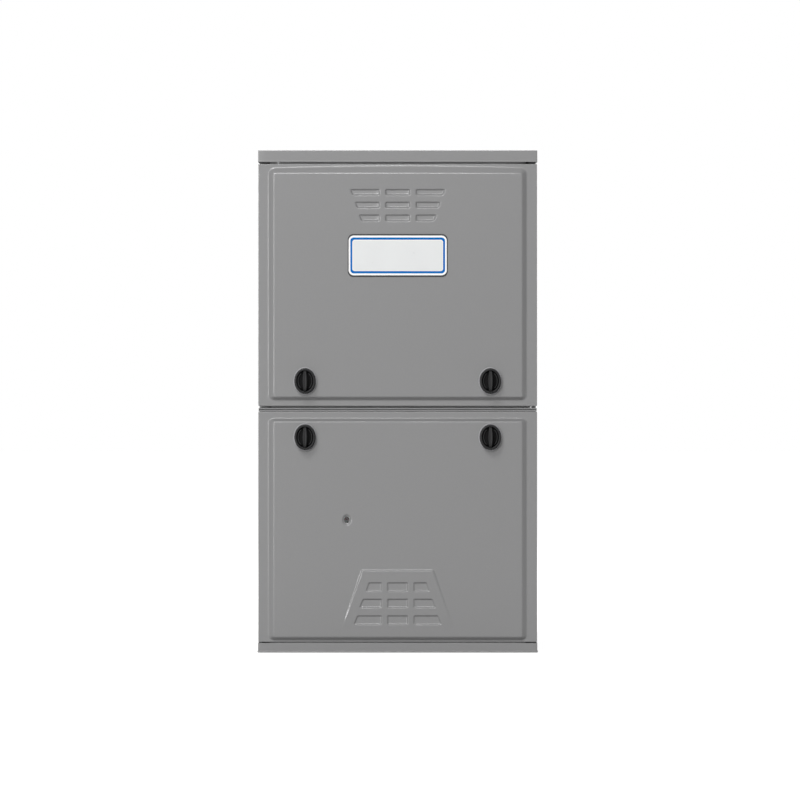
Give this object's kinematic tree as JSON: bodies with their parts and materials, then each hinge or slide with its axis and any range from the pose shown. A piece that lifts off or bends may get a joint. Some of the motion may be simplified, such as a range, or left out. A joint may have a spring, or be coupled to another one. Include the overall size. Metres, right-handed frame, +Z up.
{
  "type": "forced air gas furnace",
  "caption": "Upflow condensing gas furnace in a grey steel cabinet with two latched tilt-off doors, blower, burners and heat exchangers.",
  "frame": {"origin": "centre of the whole part's footprint, at floor level", "axes": "+Z up, -Y towards the doors and their user, +X to the right as seen from the front"},
  "size_m": [0.4946, 0.771, 0.889],
  "materials": {
    "painted_metal": "satin",
    "zinc_sheet": null,
    "steel_tube": null,
    "bright_aluminium": null,
    "cast_metal": null,
    "iron_pipe": null,
    "brass": null,
    "ceramic": null,
    "knob_plastic": "satin",
    "bezel_plastic": null,
    "name_plate_plastic": "gloss",
    "clear_plastic": "clear",
    "black_plastic": null,
    "grey_plastic": null,
    "coloured_plastic": null,
    "white_pipe": null,
    "rubber": null,
    "motor_paint": null,
    "circuit_board": null,
    "foil_mat": null,
    "filter_card": null
  },
  "bodies": {
    "cabinet": {"casing_wrapper": "painted_metal", "top_cap": "painted_metal", "base_pan": "painted_metal", "blower_deck": "painted_metal", "vestibule_panel": "zinc_sheet", "casing_liner": "foil_mat", "burner_box": "zinc_sheet", "burners": "steel_tube", "gas_manifold": "iron_pipe", "orifice_spuds": "brass", "gas_valve": "cast_metal", "gas_pipe": "iron_pipe", "igniter": "ceramic", "flame_sensor": "ceramic", "rollout_switches": "black_plastic", "primary_tubes": "steel_tube", "coupling_box": "steel_tube", "secondary_coil": "bright_aluminium", "collector_box": "black_plastic", "inducer_housing": "black_plastic", "inducer_motor": "motor_paint", "vent_pipe": "white_pipe", "intake_pipe": "white_pipe", "pipe_grommets": "rubber", "pressure_switch": "grey_plastic", "pressure_tube": "rubber", "condensate_trap": "grey_plastic", "drain_tube": "rubber", "blower_housing": "zinc_sheet", "blower_motor": "motor_paint", "motor_mount": "zinc_sheet", "control_panel": "zinc_sheet", "control_board": "circuit_board", "transformer": "motor_paint", "door_switch": "grey_plastic", "junction_box": "zinc_sheet", "air_filter": "filter_card", "case_screws": "zinc_sheet"},
    "upper_door": {"upper_door": "painted_metal", "upper_door_liner": "foil_mat", "name_plate": "name_plate_plastic", "upper_bezels": "bezel_plastic"},
    "lower_door": {"lower_door": "painted_metal", "lower_door_liner": "foil_mat", "sight_glass": "clear_plastic", "lower_bezels": "bezel_plastic"},
    "knob_upper_left": {"knob_upper_left": "knob_plastic", "latch_upper_left": "zinc_sheet"},
    "knob_upper_right": {"knob_upper_right": "knob_plastic", "latch_upper_right": "zinc_sheet"},
    "knob_lower_left": {"knob_lower_left": "knob_plastic", "latch_lower_left": "zinc_sheet"},
    "knob_lower_right": {"knob_lower_right": "knob_plastic", "latch_lower_right": "zinc_sheet"},
    "gas_switch": {"gas_valve_switch": "coloured_plastic"},
    "reset_left": {"rollout_reset_left": "coloured_plastic"},
    "reset_right": {"rollout_reset_right": "coloured_plastic"},
    "inducer_rotor": {"inducer_wheel": "cast_metal"},
    "blower_rotor": {"blower_wheel": "zinc_sheet"},
    "door_plunger": {"door_switch_plunger": "coloured_plastic"}
  },
  "joints": [
    {"name": "upper_door_tilt", "type": "hinge", "parent": "cabinet", "child": "upper_door", "pos_m": [0, -0.3545, 0.8668], "axis": [-1, 0, 0], "range_deg": [0, 30]},
    {"name": "lower_door_tilt", "type": "hinge", "parent": "cabinet", "child": "lower_door", "pos_m": [0, -0.3545, 0.0172], "axis": [1, 0, 0], "range_deg": [0, 30]},
    {"name": "knob_upper_left_turn", "type": "hinge", "parent": "upper_door", "child": "knob_upper_left", "pos_m": [-0.1638, -0.3635, 0.4806], "axis": [0, 1, 0], "range_deg": [0, 90]},
    {"name": "knob_upper_right_turn", "type": "hinge", "parent": "upper_door", "child": "knob_upper_right", "pos_m": [0.1638, -0.3635, 0.4806], "axis": [0, -1, 0], "range_deg": [0, 90]},
    {"name": "knob_lower_left_turn", "type": "hinge", "parent": "lower_door", "child": "knob_lower_left", "pos_m": [-0.1638, -0.3635, 0.3813], "axis": [0, -1, 0], "range_deg": [0, 90]},
    {"name": "knob_lower_right_turn", "type": "hinge", "parent": "lower_door", "child": "knob_lower_right", "pos_m": [0.1638, -0.3635, 0.3813], "axis": [0, 1, 0], "range_deg": [0, 90]},
    {"name": "gas_switch_slide", "type": "slide", "parent": "cabinet", "child": "gas_switch", "axis": [1, 0, 0], "range_m": [0, 0.024]},
    {"name": "reset_left_press", "type": "slide", "parent": "cabinet", "child": "reset_left", "axis": [0, 1, 0], "range_m": [0, 0.002], "stiffness_N_per_m": 400, "springref_m": -0.002},
    {"name": "reset_right_press", "type": "slide", "parent": "cabinet", "child": "reset_right", "axis": [0, 1, 0], "range_m": [0, 0.002], "stiffness_N_per_m": 400, "springref_m": -0.002},
    {"name": "inducer_spin", "type": "hinge", "parent": "cabinet", "child": "inducer_rotor", "pos_m": [0.15, -0.2, 0.52], "axis": [0, 1, 0], "continuous": true},
    {"name": "blower_spin", "type": "hinge", "parent": "cabinet", "child": "blower_rotor", "pos_m": [0, 0.12, 0.232], "axis": [1, 0, 0], "continuous": true},
    {"name": "door_plunger_travel", "type": "slide", "parent": "cabinet", "child": "door_plunger", "axis": [0, -1, 0], "range_m": [0, 0.005]}
  ],
  "couplings": [
    {"joint": "door_plunger_travel", "follows": "lower_door_tilt", "m_per_rad": 0.0095}
  ]
}
